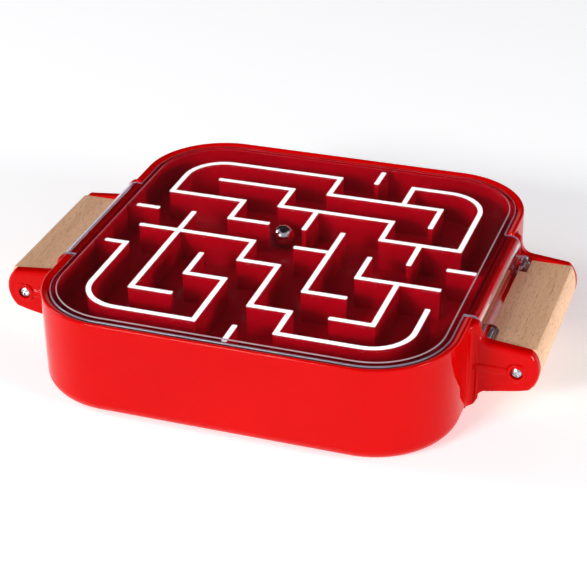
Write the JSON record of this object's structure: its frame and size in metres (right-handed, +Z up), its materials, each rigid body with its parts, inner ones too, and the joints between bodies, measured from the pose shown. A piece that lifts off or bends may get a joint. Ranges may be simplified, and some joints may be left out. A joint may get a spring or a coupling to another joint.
{
  "type": "tilt maze game",
  "caption": "Hand-held ball maze: square rounded tub with maze tray, hinged clear lid, steel ball and wooden side grips.",
  "frame": {"origin": "centre of the footprint on the table, under the middle of the tub", "axes": "+X towards the grip on the hinge side, +Y towards the back, +Z up"},
  "size_m": [0.2798, 0.2122, 0.0518],
  "materials": {
    "housing_plastic": "gloss",
    "tray_plastic": "gloss",
    "print": "matte film",
    "clear_lid": "clear, polished",
    "ball": "polished",
    "beech": "satin",
    "steel": "ground",
    "screw_zinc": "zinc plated",
    "foot_rubber": "matte"
  },
  "bodies": {
    "tub": {"housing": "housing_plastic", "maze_tray": "tray_plastic", "wall_top_print": "print", "handle_left": "beech", "handle_right": "beech", "hinge_pin_front": "steel", "hinge_pin_back": "steel", "handle_screw_left_front": "screw_zinc", "handle_screw_right_front": "screw_zinc", "handle_screw_right_back": "screw_zinc", "handle_screw_left_back": "screw_zinc", "tray_screw_left_front": "screw_zinc", "tray_screw_right_front": "screw_zinc", "tray_screw_right_back": "screw_zinc", "tray_screw_left_back": "screw_zinc", "foot_left_front": "foot_rubber", "foot_right_front": "foot_rubber", "foot_right_back": "foot_rubber", "foot_left_back": "foot_rubber"},
    "lid": {"lid": "clear_lid"},
    "ball": {"ball": "ball"}
  },
  "joints": [
    {"name": "lid_hinge", "type": "hinge", "parent": "tub", "child": "lid", "pos_m": [0.1123, 0, 0.0368], "axis": [0, 1, 0], "range_deg": [0, 92]},
    {"name": "ball_roll", "type": "slide", "parent": "tub", "child": "ball", "axis": [1, 0, 0], "range_m": [-0.0196, 0.0068]}
  ]
}
